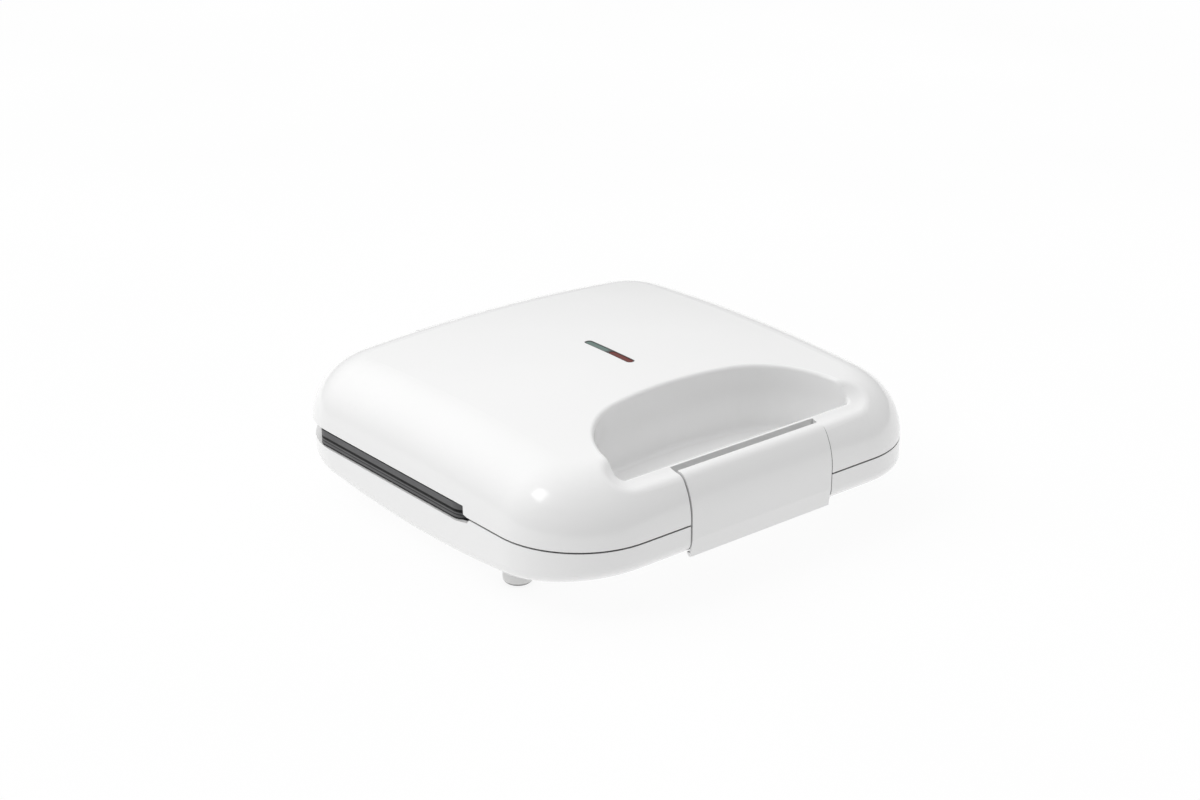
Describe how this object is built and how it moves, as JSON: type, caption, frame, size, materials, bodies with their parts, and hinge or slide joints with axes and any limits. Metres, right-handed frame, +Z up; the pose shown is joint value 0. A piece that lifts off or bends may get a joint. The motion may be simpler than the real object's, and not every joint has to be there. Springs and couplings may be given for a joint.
{
  "type": "donut maker",
  "caption": "Hinged electric donut maker with crowned shells, ring-cavity baking plates, a front latch clip, a finger recess behind the handle bar and short feet.",
  "frame": {"origin": "on the table, under the middle of the object's bounding box", "axes": "+Z up; -Y towards the handle, latch and user; +Y towards the hinge; X across, symmetric about X = 0"},
  "size_m": [0.226, 0.2213, 0.0726],
  "materials": {
    "shell": "smooth gloss white moulding",
    "plate": "dark grey non-stick coating, satin",
    "screw": "zinc plated",
    "sheath": "annealed",
    "sheet": "plain sheet",
    "foot": "fine grain, soft",
    "pin": "ground",
    "gland": "moulded",
    "ceramic": "unglazed",
    "brass_screw": "turned",
    "bezel": "dark grey",
    "lens_green": "tinted, translucent, unlit",
    "lens_red": "tinted, translucent, unlit",
    "holder": "moulded",
    "lamp_glass": "clear"
  },
  "bodies": {
    "base": {"lower_housing": "shell", "hinge_block": "shell", "lower_baking_plate": "plate", "lower_plate_screws": "screw", "lower_heating_element": "sheath", "lower_heat_shield": "sheet", "feet": "foot", "foot_screws": "screw", "hinge_pins": "pin", "cord_gland": "gland", "terminal_block": "ceramic", "terminal_screws": "brass_screw"},
    "lid": {"upper_housing": "shell", "upper_baking_plate": "plate", "upper_plate_screws": "screw", "upper_heating_element": "sheath", "upper_heat_shield": "sheet", "indicator_bezel": "bezel", "green_lens": "lens_green", "red_lens": "lens_red", "lamp_holder": "holder", "neon_lamps": "lamp_glass", "thermostat": "sheet", "thermal_fuse": "sheath", "latch_pin": "pin"},
    "latch": {"latch_clip": "shell"}
  },
  "joints": [
    {"name": "lid_hinge", "type": "hinge", "parent": "base", "child": "lid", "pos_m": [0, 0.0995, 0.052], "axis": [-1, 0, 0], "range_deg": [0, 100]},
    {"name": "latch_hinge", "type": "hinge", "parent": "lid", "child": "latch", "pos_m": [0, -0.101, 0.0474], "axis": [-1, 0, 0], "range_deg": [-3, 18]}
  ]
}
